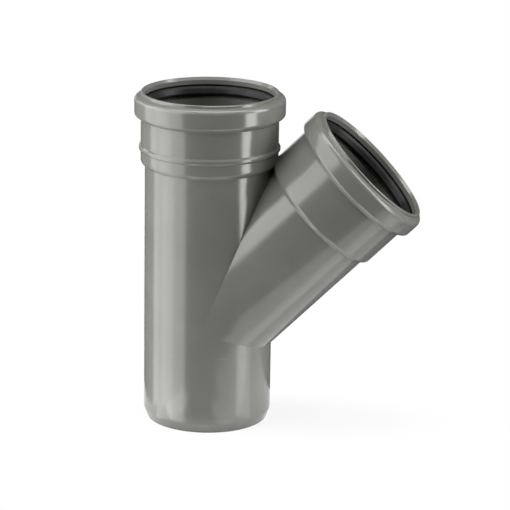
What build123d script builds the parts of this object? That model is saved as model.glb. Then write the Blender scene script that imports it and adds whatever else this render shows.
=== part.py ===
from build123d import *
import os
from math import cos, radians, sin, tan

# A 45 degree branch for soil and waste pipe. A straight run stands on its plain spigot end and opens
# upwards in a socket. A branch of the same bore leaves the run and opens in a socket of its own. The
# body is one moulding, and each socket holds a rubber lip ring in the chamber behind its mouth.

# The pipe that the fitting joins, in millimetres and degrees as everything here. The spigot has the
# pipe's wall, and the rest of the body is a little thicker.
pipe_od = 110.0
pipe_wall = 3.2
body_wall = 3.3
branch_angle = 45.0

# Lengths along the two arms. The run meets the branch's underside above the spigot, and the two arms
# part at the crotch, just below the stops of their sockets.
spigot_length = 66.0
spigot_to_branch = 2.2
crotch_to_run_stop = 1.0
crotch_to_branch_stop = 1.0
socket_depth = 62.5

# Spigot, chamfered at its end so that it opens the lip ring of the next socket. At its upper end its
# outside runs out to the body's over a short cone.
spigot_chamfer = 8.0
spigot_land = 0.15
spigot_heel_round = 5.0
spigot_runout = 1.4

# Sockets, from the stop that the pipe's end meets up to the rim
pipe_clearance = 0.4
stop_angle = 45.0
stop_round = 4.0
rim_height = 2.4
rim_round = 0.8
mouth_lead_in = 1.6
mouth_lead_angle = 35.0

# Chamber behind the rim, with the bead that it makes on the outside
groove_start = 6.0
groove_length = 10.2
groove_depth = 5.6
groove_flank_slope = 25.0
chamber_wall = 3.2
bead_top_slope = 22.0
bead_top_round = 4.0
bead_underside_depth = 19.4
bead_underside_slope = 34.0
bead_underside_round = 2.9

# Low collar round the run's socket, which the branch's socket does not have
collar_depth = 48.1
collar_height = 1.55
collar_base = 5.6
collar_top = 2.2
collar_round = 1.1

# Lip ring: a solid ring in the chamber, and a lip that hangs in and back from its upper edge. A channel
# behind the lip's nose lets the lip bend back under the socket's wall.
ring_thickness = 4.6
ring_end_clearance = 0.3
lip_channel_reach = 2.0
lip_channel_width = 1.2
lip_channel_depth = 2.4
lip_nose_reach = 0.5
lip_nose_depth = 1.6
lip_nose_width = 0.8
lip_crown_reach = 1.9
lip_crown_depth = 3.3
lip_crown_round = 3.0
lip_reach = 3.0
lip_depth = 6.8
lip_land = 0.9
lip_root_depth = 3.8

os.makedirs("parts", exist_ok=True)

# Radii
spigot_outer = pipe_od / 2
tube_inner = spigot_outer - pipe_wall
tube_outer = tube_inner + body_wall
spigot_end = tube_inner + spigot_land
socket_inner = spigot_outer + pipe_clearance
socket_outer = socket_inner + body_wall
groove_outer = socket_inner + groove_depth
bead_outer = groove_outer + chamber_wall
ring_inner = groove_outer - ring_thickness
channel_outer = socket_inner + lip_channel_reach

# Depths below a mouth
mouth_lead_depth = mouth_lead_in / tan(radians(mouth_lead_angle))
bead_top_depth = rim_height + (bead_outer - socket_outer) * tan(radians(bead_top_slope))
bead_root_depth = bead_underside_depth + (bead_outer - socket_outer) * tan(radians(bead_underside_slope))
groove_end = groove_start + groove_length
flank_end = groove_end + groove_depth * tan(radians(groove_flank_slope))
stop_inner_top = socket_depth - (socket_inner - tube_inner) / tan(radians(stop_angle))
stop_outer_top = stop_inner_top + body_wall * tan(radians(stop_angle) / 2)
stop_outer_end = stop_outer_top + (socket_outer - tube_outer) / tan(radians(stop_angle))

# Distances along the arms, from the crossing of their axes
lean = radians(branch_angle)
underside = -tube_outer * tan(lean / 2)
crotch = tube_outer / tan(lean / 2)
foot = underside - spigot_to_branch - spigot_length
spigot_top = foot + spigot_length
run_mouth = crotch + crotch_to_run_stop + socket_depth
branch_mouth = crotch + crotch_to_branch_stop + socket_depth
branch_tail = -tube_outer
past_everything = branch_mouth + bead_outer

# Each arm is drawn as a half section, where X is the radius and Y the distance from the crossing. They
# are mitred together like two cut tubes, on the two planes that halve the angles between the arms.
crossing = (0, 0, -foot)
run_plane = Plane(origin=crossing, x_dir=(1, 0, 0), z_dir=(0, -1, 0))
branch_plane = Plane(origin=crossing, x_dir=(cos(lean), 0, -sin(lean)), z_dir=(0, -1, 0))
mitre_plane = Plane(origin=crossing, x_dir=(cos(lean / 2), 0, -sin(lean / 2)), z_dir=(0, -1, 0))
run_axis = Axis(crossing, (0, 0, 1))
branch_axis = Axis(crossing, (sin(lean), 0, cos(lean)))


def places(corners):
    """The points of a list of corners."""
    return [corner[:2] for corner in corners]


def roundings(corners):
    """The roundings of a list of corners."""
    return [corner[2] for corner in corners]


# The functions below give the corners of a half section as (radius, distance, rounding)
def collar_corners(mouth):
    """Low rounded collar on the outside of a socket."""
    middle = mouth - collar_depth
    crest = socket_outer + collar_height
    return [
        (socket_outer, middle - collar_base / 2, 0),
        (crest, middle - collar_top / 2, collar_round),
        (crest, middle + collar_top / 2, collar_round),
        (socket_outer, middle + collar_base / 2, 0),
    ]


def socket_outside(mouth, collar=()):
    """Outside of a socket from the tube up to its rim, closed along the axis."""
    return [
        (tube_outer, mouth - stop_outer_end, 0),
        (socket_outer, mouth - stop_outer_top, stop_round),
        *collar,
        (socket_outer, mouth - bead_root_depth, 0),
        (bead_outer, mouth - bead_underside_depth, bead_underside_round),
        (bead_outer, mouth - bead_top_depth, bead_top_round),
        (socket_outer, mouth - rim_height, 0),
        (socket_outer, mouth, rim_round),
        (0, mouth, 0),
    ]


def socket_inside(mouth):
    """Hollow of a socket from the tube's bore out through the mouth, with the chamber for the ring."""
    return [
        (tube_inner, mouth - socket_depth, 0),
        (socket_inner, mouth - stop_inner_top, 0),
        (socket_inner, mouth - flank_end, 0),
        (groove_outer, mouth - groove_end, 0),
        (groove_outer, mouth - groove_start, 0),
        (socket_inner, mouth - groove_start, 0),
        (socket_inner, mouth - mouth_lead_depth, 0),
        (socket_inner + mouth_lead_in, mouth, 0),
        (0, mouth, 0),
    ]


def ring_section(mouth):
    """Section of a lip ring, seated on the chamber's floor and upper flank."""
    top = mouth - groove_start
    return [
        (groove_outer, top, 0),
        (groove_outer, top - groove_length + ring_end_clearance, 0),
        (ring_inner, top - groove_length + ring_end_clearance, 0),
        (ring_inner, top - lip_root_depth, 0),
        (spigot_outer - lip_reach, top - lip_depth - lip_land, 0),
        (spigot_outer - lip_reach, top - lip_depth, 0),
        (spigot_outer - lip_crown_reach, top - lip_crown_depth, lip_crown_round),
        (spigot_outer - lip_nose_reach, top - lip_nose_depth, 0),
        (spigot_outer - lip_nose_reach + lip_nose_width, top - lip_nose_depth, 0),
        (channel_outer - lip_channel_width, top - lip_channel_depth, 0),
        (channel_outer, top - lip_channel_depth, 0),
        (channel_outer, top, 0),
    ]


# Side of the mitre that belongs to the branch
with BuildPart() as branch_side:
    with BuildSketch(mitre_plane):
        Rectangle(past_everything, past_everything, align=(Align.MIN, Align.MIN))
    extrude(amount=past_everything, both=True)

# Branch arm, turned as a hollow tube with its socket and cut to the mitre
branch_outside = [(0, branch_tail, 0), (tube_outer, branch_tail, 0), *socket_outside(branch_mouth)]
branch_inside = [(0, branch_tail, 0), (tube_inner, branch_tail, 0), *socket_inside(branch_mouth)]
with BuildPart() as branch_arm:
    with BuildSketch(branch_plane):
        with BuildLine():
            FilletPolyline(places(branch_outside), radius=roundings(branch_outside), close=True)
        make_face()
        with BuildLine():
            FilletPolyline(places(branch_inside), radius=roundings(branch_inside), close=True)
        make_face(mode=Mode.SUBTRACT)
    revolve(axis=branch_axis)
    add(branch_side.part, mode=Mode.INTERSECT)

# Body: the run is turned and cut in the same way, and the branch arm is joined to it
run_outside = [
    (0, foot, 0),
    (spigot_end, foot, 0),
    (spigot_outer, foot + spigot_chamfer, spigot_heel_round),
    (spigot_outer, spigot_top, 0),
    (tube_outer, spigot_top + spigot_runout, 0),
    *socket_outside(run_mouth, collar_corners(run_mouth)),
]
run_inside = [(0, foot, 0), (tube_inner, foot, 0), *socket_inside(run_mouth)]
with BuildPart() as body:
    with BuildSketch(run_plane):
        with BuildLine():
            FilletPolyline(places(run_outside), radius=roundings(run_outside), close=True)
        make_face()
        with BuildLine():
            FilletPolyline(places(run_inside), radius=roundings(run_inside), close=True)
        make_face(mode=Mode.SUBTRACT)
    revolve(axis=run_axis)
    add(branch_side.part, mode=Mode.SUBTRACT)
    add(branch_arm.part)
body.part.label = "body"
export_step(body.part, "parts/body.step")

# Lip ring of the run's socket
run_ring = ring_section(run_mouth)
with BuildPart() as run_seal:
    with BuildSketch(run_plane):
        with BuildLine():
            FilletPolyline(places(run_ring), radius=roundings(run_ring), close=True)
        make_face()
    revolve(axis=run_axis)
run_seal.part.label = "run_seal"
export_step(run_seal.part, "parts/run_seal.step")

# Lip ring of the branch's socket
branch_ring = ring_section(branch_mouth)
with BuildPart() as branch_seal:
    with BuildSketch(branch_plane):
        with BuildLine():
            FilletPolyline(places(branch_ring), radius=roundings(branch_ring), close=True)
        make_face()
    revolve(axis=branch_axis)
branch_seal.part.label = "branch_seal"
export_step(branch_seal.part, "parts/branch_seal.step")
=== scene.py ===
import math

import bpy
import bmesh
from mathutils import Matrix, Vector

# A 45 degree branch for soil and waste pipe, seen from its front. Its shapes are the frame's own, and
# this script gives them their finish, the light, the floor and the camera. Lengths are in metres, and
# angles in degrees. An azimuth of 0 is the front of the object and 90 its +X side.
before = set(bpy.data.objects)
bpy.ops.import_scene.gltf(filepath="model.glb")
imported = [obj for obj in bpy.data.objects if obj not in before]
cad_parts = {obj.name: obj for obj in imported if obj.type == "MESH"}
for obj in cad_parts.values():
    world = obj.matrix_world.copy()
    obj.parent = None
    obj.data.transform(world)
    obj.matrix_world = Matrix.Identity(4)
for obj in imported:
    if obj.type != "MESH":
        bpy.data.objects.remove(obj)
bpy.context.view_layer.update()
scene = bpy.context.scene

# Camera, by where it looks, from which side and how far away. Its lens and sensor are in millimetres.
CAMERA_TARGET = Vector((0.04018, 0, 0.14521))
CAMERA_AZIMUTH = 5.483
CAMERA_ELEVATION = 16.058
CAMERA_ROLL = 0.938
CAMERA_DISTANCE = 2.17179
CAMERA_LENS = 178.578
SENSOR_WIDTH = 36.0

# Grey moulded plastic, in linear colours. Its roughness runs from its smoothest spots to its dullest,
# and rubbed patches and worn edges add to it.
PLASTIC_DARK = (0.16, 0.161, 0.147, 1)
PLASTIC_LIGHT = (0.182, 0.183, 0.168, 1)
PLASTIC_FLECK = (0.201, 0.201, 0.186, 1)
PLASTIC_WORN = (0.27, 0.268, 0.257, 1)
PLASTIC_FLECK_SHARE = 0.5
PLASTIC_WORN_SHARE = 0.6
PLASTIC_EDGE_WIDTH = 0.0006
PLASTIC_ROUGHNESS = (0.15, 0.19)
PLASTIC_RUBBED_ROUGHNESS = 0.05
PLASTIC_WORN_ROUGHNESS = 0.14
PLASTIC_WAVE_DEPTH = 0.00012
PLASTIC_PEEL_DEPTH = 0.000006
PLASTIC_RUBBED_DEPTH = 0.000002

# Black rubber of the lip rings, given in the same way
RUBBER_DARK = (0.009, 0.009, 0.01, 1)
RUBBER_LIGHT = (0.02, 0.02, 0.021, 1)
RUBBER_DUST = (0.07, 0.069, 0.066, 1)
RUBBER_DUST_SHARE = 0.6
RUBBER_EDGE_WIDTH = 0.0005
RUBBER_ROUGHNESS = (0.39, 0.52)
RUBBER_DUST_ROUGHNESS = 0.2
RUBBER_GLOSS = 0.18
RUBBER_WAVE_DEPTH = 0.00004
RUBBER_GRAIN_DEPTH = 0.000008

# Rays that measure how sharply a surface bends at a spot
EDGE_SAMPLES = 8

# Floor, a small table top
FLOOR_LEFT = -0.09
FLOOR_RIGHT = 0.28
FLOOR_FRONT = -0.062
FLOOR_BACK = 0.07
FLOOR_THICKNESS = 0.012
FLOOR_DARK = (0.86, 0.86, 0.86, 1)
FLOOR_LIGHT = (0.88, 0.88, 0.88, 1)
FLOOR_ROUGHNESS = 0.7
FLOOR_GLOSS = 0.2

# Ellipse on the floor, outside which the floor shows as pure white. Inside its core, whose size is a
# share of the ellipse's, only the share SHADE_WHITE is white and the rest is the lit floor itself.
SHADE_CENTRE = (0.07, 0.004)
SHADE_RADII = (0.2, 0.066)
SHADE_CORE = 0.4
SHADE_WHITE = 0.86

# White surround, and how much of its white lights the object
WHITE = (1, 1, 1, 1)
SURROUND_LIGHT = 0.08

# Lamps that lie level with the table top, on it and beside it: the left, right, front and back edge of
# each, and its strength. Here and below, a lamp with a strength of 1 looks white.
TABLE_LIGHT_HEIGHT = 0.001
TABLE_LIGHTS = {
    "table_right": (0.065, 0.3, -0.2, -0.035, 1.35),
    "table_corner": (0.028, 0.065, -0.13, FLOOR_FRONT, 1.3),
    "table_front": (-0.04, 0.05, -0.085, -0.058, 0.6),
    "table_left": (FLOOR_LEFT, -0.045, -0.14, -0.035, 1.9),
}

# Middle of the object, which the softboxes and cards stand around. Each has a side, which is its azimuth
# from the camera's and its elevation, and a span, which is how wide and high it looks from the middle.
CENTRE = Vector((0.03, 0, 0.145))

# Softboxes: side, span, distance and strength
SOFTBOXES = {
    "left_a": ((-100, 0), (24, 60), 1.3, 2.1),
    "left_b": ((-76, 0), (24, 60), 1.3, 3.6),
    "left_c": ((-52, 0), (24, 60), 1.3, 2.2),
    "left_upper": ((-95, 24), (100, 16), 1.3, 2.4),
    "left_top": ((-72, 45), (64, 30), 1.3, 2.6),
    "left_low": ((-100, -45), (64, 30), 1.3, 1.8),
    "right_strip": ((64.5, -1), (19, 32), 1.5, 7.7),
    "right_strip_low": ((64.5, -24), (19, 14), 1.5, 1.8),
    "right_high": ((85, 28), (22, 44), 1.4, 7.0),
    "top": ((180, 84), (60, 24), 1.3, 5.0),
}

# Dark cards, each bent round the object in flat steps: side, span and distance
CARD_STEPS = 12
CARD_COLOUR = (0.03, 0.03, 0.03, 1)
CARD_ROUGHNESS = 0.9
CARDS = {
    "front_card": ((6, -5), (98, 110), 2.6),
    "right_card": ((138, -12), (76, 100), 1.9),
    "back_card": ((180, 36), (120, 60), 1.9),
    "left_low_card": ((-138, -24), (56, 50), 1.9),
}

# Places of the colour sockets among a Mix node's inputs and outputs
MIX_FIRST = 6
MIX_SECOND = 7
MIX_RESULT = 2


def direction(azimuth, elevation):
    """The direction from the object at an azimuth and an elevation."""
    turn = math.radians(azimuth)
    tilt = math.radians(elevation)
    return Vector((math.sin(turn) * math.cos(tilt), -math.cos(turn) * math.cos(tilt), math.sin(tilt)))


def add_camera():
    """The photograph's camera."""
    data = bpy.data.cameras.new("camera")
    data.lens = CAMERA_LENS
    data.sensor_width = SENSOR_WIDTH
    camera = bpy.data.objects.new("camera", data)
    scene.collection.objects.link(camera)
    back = direction(CAMERA_AZIMUTH, CAMERA_ELEVATION)
    level_right = (-back).cross(Vector((0, 0, 1))).normalized()
    level_up = level_right.cross(-back)
    roll = math.radians(CAMERA_ROLL)
    right = level_right * math.cos(roll) + level_up * math.sin(roll)
    up = level_up * math.cos(roll) - level_right * math.sin(roll)
    place = Matrix((right, up, back)).transposed().to_4x4()
    place.translation = CAMERA_TARGET + back * CAMERA_DISTANCE
    camera.matrix_world = place
    scene.camera = camera


def node(tree, kind, settings=None, values=None):
    """Adds a shader node with its settings and the values of its sockets."""
    made = tree.nodes.new(kind)
    for name, value in (settings or {}).items():
        setattr(made, name, value)
    for name, value in (values or {}).items():
        made.inputs[name].default_value = value
    return made


def new_material(name):
    """A material with its Principled shader."""
    material = bpy.data.materials.new(name)
    material.use_nodes = True
    return material, material.node_tree.nodes["Principled BSDF"]


def noise(tree, cells, detail, stretch=(1, 1, 1), distortion=0.0):
    """Noise on the object's own coordinates, as a socket from 0 to 1. Cells is their number in a metre."""
    place = node(tree, "ShaderNodeTexCoord")
    mapping = node(tree, "ShaderNodeMapping", values={"Scale": stretch})
    pattern = node(
        tree, "ShaderNodeTexNoise",
        values={"Scale": cells, "Detail": detail, "Distortion": distortion},
    )
    tree.links.new(place.outputs["Object"], mapping.inputs["Vector"])
    tree.links.new(mapping.outputs["Vector"], pattern.inputs["Vector"])
    return pattern.outputs["Fac"]


def remap(tree, value, low, high, to_low=0.0, to_high=1.0):
    """A value's range from low to high, spread over another range."""
    spread = node(
        tree, "ShaderNodeMapRange",
        values={"From Min": low, "From Max": high, "To Min": to_low, "To Max": to_high},
    )
    tree.links.new(value, spread.inputs["Value"])
    return spread.outputs["Result"]


def combine(tree, operation, first, second):
    """A sum, product or other result of two terms. Each is a number or a socket."""
    maths = node(tree, "ShaderNodeMath", {"operation": operation})
    for term, socket in zip((first, second), maths.inputs):
        if isinstance(term, (int, float)):
            socket.default_value = term
        else:
            tree.links.new(term, socket)
    return maths.outputs["Value"]


def add_share(tree, base, value, share):
    """A socket plus a share of another one."""
    return combine(tree, "ADD", base, combine(tree, "MULTIPLY", value, share))


def blend(tree, amount, first, second):
    """One colour turning into another. Each is a colour or a socket."""
    mix = node(tree, "ShaderNodeMix", {"data_type": "RGBA"})
    tree.links.new(amount, mix.inputs["Factor"])
    for colour, socket in ((first, mix.inputs[MIX_FIRST]), (second, mix.inputs[MIX_SECOND])):
        if isinstance(colour, tuple):
            socket.default_value = colour
        else:
            tree.links.new(colour, socket)
    return mix.outputs[MIX_RESULT]


def mix_shaders(tree, amount, first, second):
    """One shader turning into another."""
    mix = node(tree, "ShaderNodeMixShader")
    tree.links.new(amount, mix.inputs["Fac"])
    tree.links.new(first, mix.inputs[1])
    tree.links.new(second, mix.inputs[2])
    return mix.outputs["Shader"]


def edges(tree, width, least, most):
    """A mask of the edges that handling wears: 1 at a sharp edge, 0 on a smooth face."""
    soft = node(tree, "ShaderNodeBevel", {"samples": EDGE_SAMPLES}, {"Radius": width})
    true = node(tree, "ShaderNodeNewGeometry")
    dot = node(tree, "ShaderNodeVectorMath", {"operation": "DOT_PRODUCT"})
    tree.links.new(soft.outputs["Normal"], dot.inputs[0])
    tree.links.new(true.outputs["Normal"], dot.inputs[1])
    return remap(tree, combine(tree, "SUBTRACT", 1.0, dot.outputs["Value"]), least, most)


def bump(tree, shader, layers):
    """Joins layers of relief to a shader. Each is a height socket and its depth."""
    normal = None
    for height, depth in layers:
        relief = node(tree, "ShaderNodeBump", values={"Strength": 1.0, "Distance": depth})
        tree.links.new(height, relief.inputs["Height"])
        if normal:
            tree.links.new(normal, relief.inputs["Normal"])
        normal = relief.outputs["Normal"]
    tree.links.new(normal, shader.inputs["Normal"])


def plastic():
    """Grey moulded plastic: clouded colour with pale flecks, a silky skin with long waves and fine peel,
    faint rubbed patches, and paler, duller edges."""
    material, shader = new_material("grey_plastic")
    tree = material.node_tree
    clouds = remap(tree, noise(tree, cells=16, detail=3, distortion=0.6), low=0.35, high=0.65)
    flecks = remap(tree, noise(tree, cells=900, detail=1), low=0.62, high=0.8)
    worn_edges = edges(tree, PLASTIC_EDGE_WIDTH, least=0.03, most=0.3)
    handled = remap(tree, noise(tree, cells=90, detail=3), low=0.35, high=0.7, to_low=0.15)
    worn = combine(tree, "MULTIPLY", worn_edges, handled)
    patches = noise(tree, cells=34, detail=5, stretch=(1, 1, 0.35), distortion=1.2)
    rubbed = remap(tree, patches, low=0.52, high=0.74)

    colour = blend(tree, clouds, PLASTIC_DARK, PLASTIC_LIGHT)
    colour = blend(tree, combine(tree, "MULTIPLY", flecks, PLASTIC_FLECK_SHARE), colour, PLASTIC_FLECK)
    colour = blend(tree, combine(tree, "MULTIPLY", worn, PLASTIC_WORN_SHARE), colour, PLASTIC_WORN)
    tree.links.new(colour, shader.inputs["Base Color"])

    fine = noise(tree, cells=240, detail=3)
    roughness = remap(tree, fine, 0.3, 0.7, *PLASTIC_ROUGHNESS)
    roughness = add_share(tree, roughness, rubbed, PLASTIC_RUBBED_ROUGHNESS)
    roughness = add_share(tree, roughness, worn, PLASTIC_WORN_ROUGHNESS)
    tree.links.new(roughness, shader.inputs["Roughness"])

    waves = noise(tree, cells=22, detail=1)
    peel = noise(tree, cells=420, detail=2)
    layers = (waves, PLASTIC_WAVE_DEPTH), (peel, PLASTIC_PEEL_DEPTH), (rubbed, PLASTIC_RUBBED_DEPTH)
    bump(tree, shader, layers)
    return material


def rubber():
    """Black rubber of the lip rings, a little greasy, with dust on its edges."""
    material, shader = new_material("black_rubber")
    tree = material.node_tree
    clouds = remap(tree, noise(tree, cells=60, detail=3), low=0.35, high=0.65)
    dusty_edges = edges(tree, RUBBER_EDGE_WIDTH, least=0.05, most=0.4)
    settled = remap(tree, noise(tree, cells=300, detail=4), low=0.45, high=0.7)
    dust = combine(tree, "MULTIPLY", dusty_edges, settled)

    colour = blend(tree, clouds, RUBBER_DARK, RUBBER_LIGHT)
    colour = blend(tree, combine(tree, "MULTIPLY", dust, RUBBER_DUST_SHARE), colour, RUBBER_DUST)
    tree.links.new(colour, shader.inputs["Base Color"])

    grease = noise(tree, cells=45, detail=2, distortion=0.8)
    roughness = remap(tree, grease, 0.4, 0.65, *RUBBER_ROUGHNESS)
    roughness = add_share(tree, roughness, dust, RUBBER_DUST_ROUGHNESS)
    tree.links.new(roughness, shader.inputs["Roughness"])
    shader.inputs["Specular IOR Level"].default_value = RUBBER_GLOSS

    waves = noise(tree, cells=120, detail=2)
    grain = noise(tree, cells=1500, detail=2)
    bump(tree, shader, ((waves, RUBBER_WAVE_DEPTH), (grain, RUBBER_GRAIN_DEPTH)))
    return material


def shown_rays(tree):
    """1 for the rays that show the background: the camera's, reflected ones and those through glass."""
    rays = node(tree, "ShaderNodeLightPath")
    seen = combine(tree, "MAXIMUM", rays.outputs["Is Camera Ray"], rays.outputs["Is Glossy Ray"])
    return combine(tree, "MAXIMUM", seen, rays.outputs["Is Transmission Ray"])


def from_shade_centre(tree):
    """How far out a point of the floor lies: 0 at the shade's centre, and 1 on its ellipse."""
    place = node(tree, "ShaderNodeTexCoord")
    shift = node(
        tree, "ShaderNodeMapping", {"vector_type": "TEXTURE"},
        {"Location": (*SHADE_CENTRE, 0), "Scale": (*SHADE_RADII, 1)},
    )
    length = node(tree, "ShaderNodeVectorMath", {"operation": "LENGTH"})
    tree.links.new(place.outputs["Object"], shift.inputs["Vector"])
    tree.links.new(shift.outputs["Vector"], length.inputs[0])
    return length.outputs["Value"]


def floor_finish():
    """Pale floor. It takes the object's shadow. The rays that show the background see it mostly white, and
    wholly white away from the object."""
    material, shader = new_material("pale_floor")
    tree = material.node_tree
    grain = remap(tree, noise(tree, cells=30, detail=3), low=0.3, high=0.7)
    tree.links.new(blend(tree, grain, FLOOR_DARK, FLOOR_LIGHT), shader.inputs["Base Color"])
    shader.inputs["Roughness"].default_value = FLOOR_ROUGHNESS
    shader.inputs["Specular IOR Level"].default_value = FLOOR_GLOSS

    white = node(tree, "ShaderNodeEmission", values={"Color": WHITE, "Strength": 1.0})
    share = remap(tree, from_shade_centre(tree), SHADE_CORE, 1.0, to_low=SHADE_WHITE)
    whiteness = combine(tree, "MULTIPLY", shown_rays(tree), share)
    finish = mix_shaders(tree, whiteness, shader.outputs["BSDF"], white.outputs["Emission"])
    tree.links.new(finish, tree.nodes["Material Output"].inputs["Surface"])
    return material


def add_floor():
    """Small table top that the fitting stands on."""
    size = (FLOOR_RIGHT - FLOOR_LEFT, FLOOR_BACK - FLOOR_FRONT, FLOOR_THICKNESS, 1)
    centre = ((FLOOR_LEFT + FLOOR_RIGHT) / 2, (FLOOR_FRONT + FLOOR_BACK) / 2, -FLOOR_THICKNESS / 2)
    mesh = bpy.data.meshes.new("floor")
    shape = bmesh.new()
    bmesh.ops.create_cube(shape, size=1, matrix=Matrix.Translation(centre) @ Matrix.Diagonal(size))
    shape.to_mesh(mesh)
    shape.free()
    floor = bpy.data.objects.new("floor", mesh)
    scene.collection.objects.link(floor)
    mesh.materials.append(floor_finish())


def add_world():
    """White surround. Its light on the object is weaker than it looks."""
    world = bpy.data.worlds.new("surround")
    scene.world = world
    world.use_nodes = True
    tree = world.node_tree
    tree.nodes.clear()
    lit = node(tree, "ShaderNodeBackground", values={"Color": WHITE, "Strength": SURROUND_LIGHT})
    white = node(tree, "ShaderNodeBackground", values={"Color": WHITE, "Strength": 1.0})
    out = node(tree, "ShaderNodeOutputWorld")
    surround = mix_shaders(tree, shown_rays(tree), lit.outputs["Background"], white.outputs["Background"])
    tree.links.new(surround, out.inputs["Surface"])


def add_lamp(name, place, aim, size, strength):
    """A soft rectangular lamp at a place, turned towards its aim."""
    data = bpy.data.lights.new(name, "AREA")
    data.shape = "RECTANGLE"
    data.size, data.size_y = size
    data.energy = strength * math.pi * data.size * data.size_y
    lamp = bpy.data.objects.new(name, data)
    scene.collection.objects.link(lamp)
    lamp.location = place
    lamp.rotation_mode = "QUATERNION"
    lamp.rotation_quaternion = (aim - place).to_track_quat("-Z", "Y")
    lamp.visible_camera = False


def add_table_light(name, left, right, front, back, strength):
    """A soft lamp that lies level with the table top and shines up."""
    place = Vector(((left + right) / 2, (front + back) / 2, TABLE_LIGHT_HEIGHT))
    add_lamp(name, place, place + Vector((0, 0, 1)), (right - left, back - front), strength)


def add_softbox(name, side, span, distance, strength):
    """A soft lamp that stands off the object and faces it."""
    azimuth, elevation = side
    place = CENTRE + direction(CAMERA_AZIMUTH + azimuth, elevation) * distance
    size = [2 * distance * math.tan(math.radians(angle / 2)) for angle in span]
    add_lamp(name, place, CENTRE, size, strength)


def card_finish():
    """Dark, dull card."""
    material, shader = new_material("dark_card")
    shader.inputs["Base Color"].default_value = CARD_COLOUR
    shader.inputs["Roughness"].default_value = CARD_ROUGHNESS
    return material


def add_card(name, side, span, distance, finish):
    """A bent card that the camera doesn't see, and that keeps part of the white out of the reflections."""
    azimuth, elevation = side
    across, high = span
    corners = []
    for step in range(CARD_STEPS + 1):
        turn = azimuth + across * (step / CARD_STEPS - 0.5)
        for tilt in (elevation - high / 2, elevation + high / 2):
            corners.append(CENTRE + direction(CAMERA_AZIMUTH + turn, tilt) * distance)
    faces = [(2 * step, 2 * step + 1, 2 * step + 3, 2 * step + 2) for step in range(CARD_STEPS)]
    mesh = bpy.data.meshes.new(name)
    mesh.from_pydata(corners, [], faces)
    mesh.materials.append(finish)
    card = bpy.data.objects.new(name, mesh)
    scene.collection.objects.link(card)
    card.visible_camera = False


def dress(name, material):
    """Gives a CAD node its material."""
    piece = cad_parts[name]
    piece.data.materials.clear()
    piece.data.materials.append(material)


add_camera()
add_world()
add_floor()
for name, table_light in TABLE_LIGHTS.items():
    add_table_light(name, *table_light)
for name, softbox in SOFTBOXES.items():
    add_softbox(name, *softbox)
dark_card = card_finish()
for name, card in CARDS.items():
    add_card(name, *card, dark_card)
dress("body", plastic())
rubber_finish = rubber()
dress("run_seal", rubber_finish)
dress("branch_seal", rubber_finish)
scene.view_settings.view_transform = "Standard"
